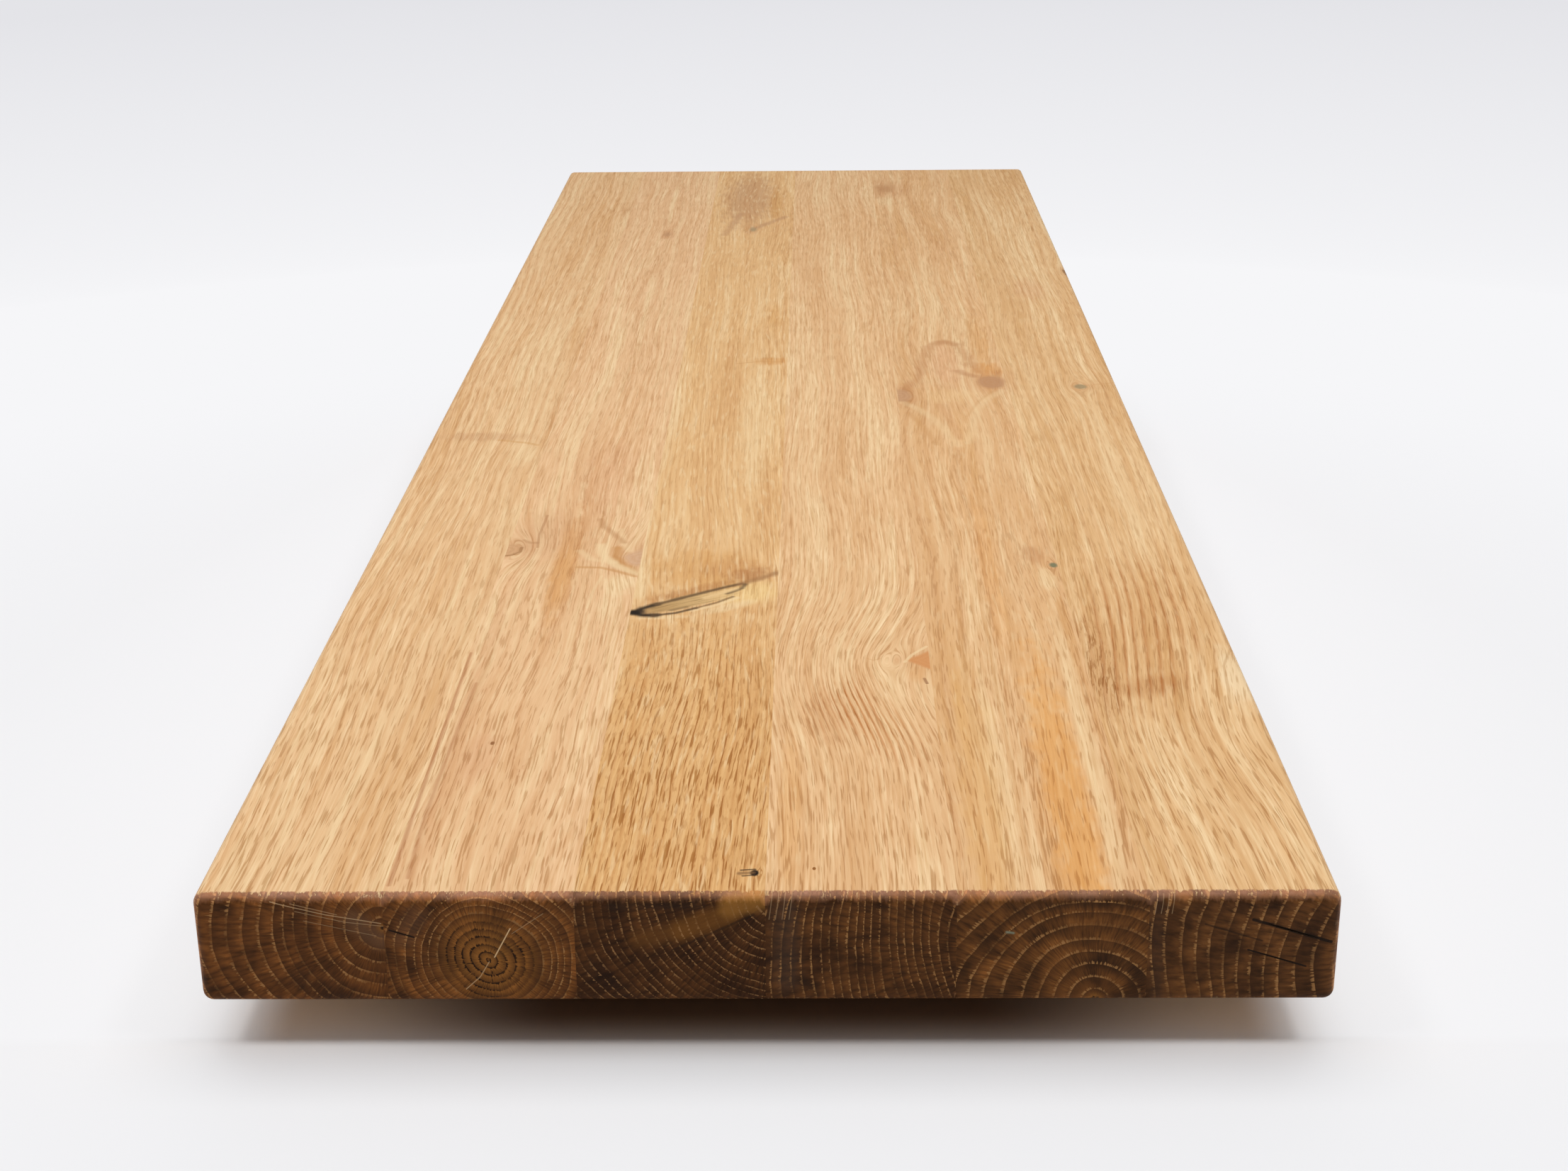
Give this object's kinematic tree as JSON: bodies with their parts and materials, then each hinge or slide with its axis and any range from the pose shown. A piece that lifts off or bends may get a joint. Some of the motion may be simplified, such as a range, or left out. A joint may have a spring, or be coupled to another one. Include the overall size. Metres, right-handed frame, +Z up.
{
  "type": "window sill board",
  "caption": "Flat rectangular board of full-length oak staves glued edge to edge, with every outer edge rounded over; lies on a wall below a window.",
  "frame": {"origin": "middle of the underside, which is also the middle of the board's length and width", "axes": "+Y along the grain and the board's length, away from the end seen in the picture; +X across the staves; +Z up, out of the top face"},
  "size_m": [0.3, 1, 0.032],
  "materials": {
    "oiled_oak": "sanded and oiled, satin"
  },
  "bodies": {
    "root": {"stave_1": "oiled_oak", "stave_2": "oiled_oak", "stave_3": "oiled_oak", "stave_4": "oiled_oak", "stave_5": "oiled_oak", "stave_6": "oiled_oak"}
  },
  "joints": []
}
